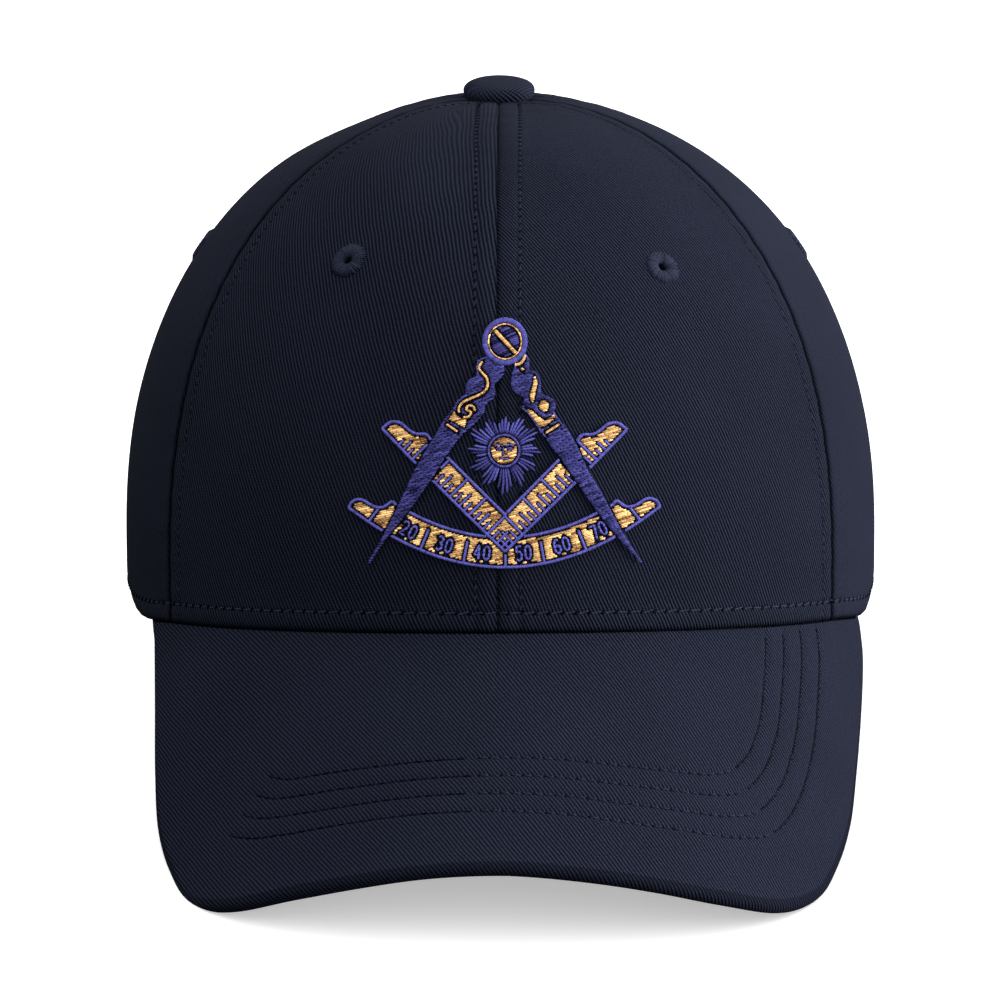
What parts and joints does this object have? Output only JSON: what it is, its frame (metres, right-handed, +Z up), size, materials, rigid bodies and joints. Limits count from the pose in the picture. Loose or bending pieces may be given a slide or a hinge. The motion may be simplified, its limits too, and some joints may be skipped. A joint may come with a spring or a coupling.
{
  "type": "six-panel curved-visor cap with a fraternal emblem",
  "caption": "Navy panelled cloth cap with a stiff curved visor, covered top button, worked eyelets and a raised compasses, square and quadrant emblem on the front.",
  "frame": {"origin": "centre of the cap's overall box, on the surface that it rests on", "axes": "+Z up, -Y ahead of the visor, +X to the wearer's left"},
  "size_m": [0.176, 0.256, 0.1361],
  "materials": {
    "crown_twill": "matt navy cotton twill",
    "visor_twill": "matt navy cotton twill",
    "navy_thread": "slightly shiny navy sewing thread",
    "violet_thread": "satin violet-blue embroidery thread",
    "gold_thread": "satin gold embroidery thread"
  },
  "bodies": {
    "root": {"front_left_panel": "crown_twill", "front_right_panel": "crown_twill", "side_left_panel": "crown_twill", "side_right_panel": "crown_twill", "back_left_panel": "crown_twill", "back_right_panel": "crown_twill", "visor": "visor_twill", "top_button": "visor_twill", "front_left_eyelet": "navy_thread", "front_right_eyelet": "navy_thread", "side_left_eyelet": "navy_thread", "side_right_eyelet": "navy_thread", "back_left_eyelet": "navy_thread", "back_right_eyelet": "navy_thread", "emblem_compasses": "violet_thread", "emblem_square": "gold_thread", "emblem_quadrant": "gold_thread", "emblem_sun": "gold_thread"}
  },
  "joints": []
}
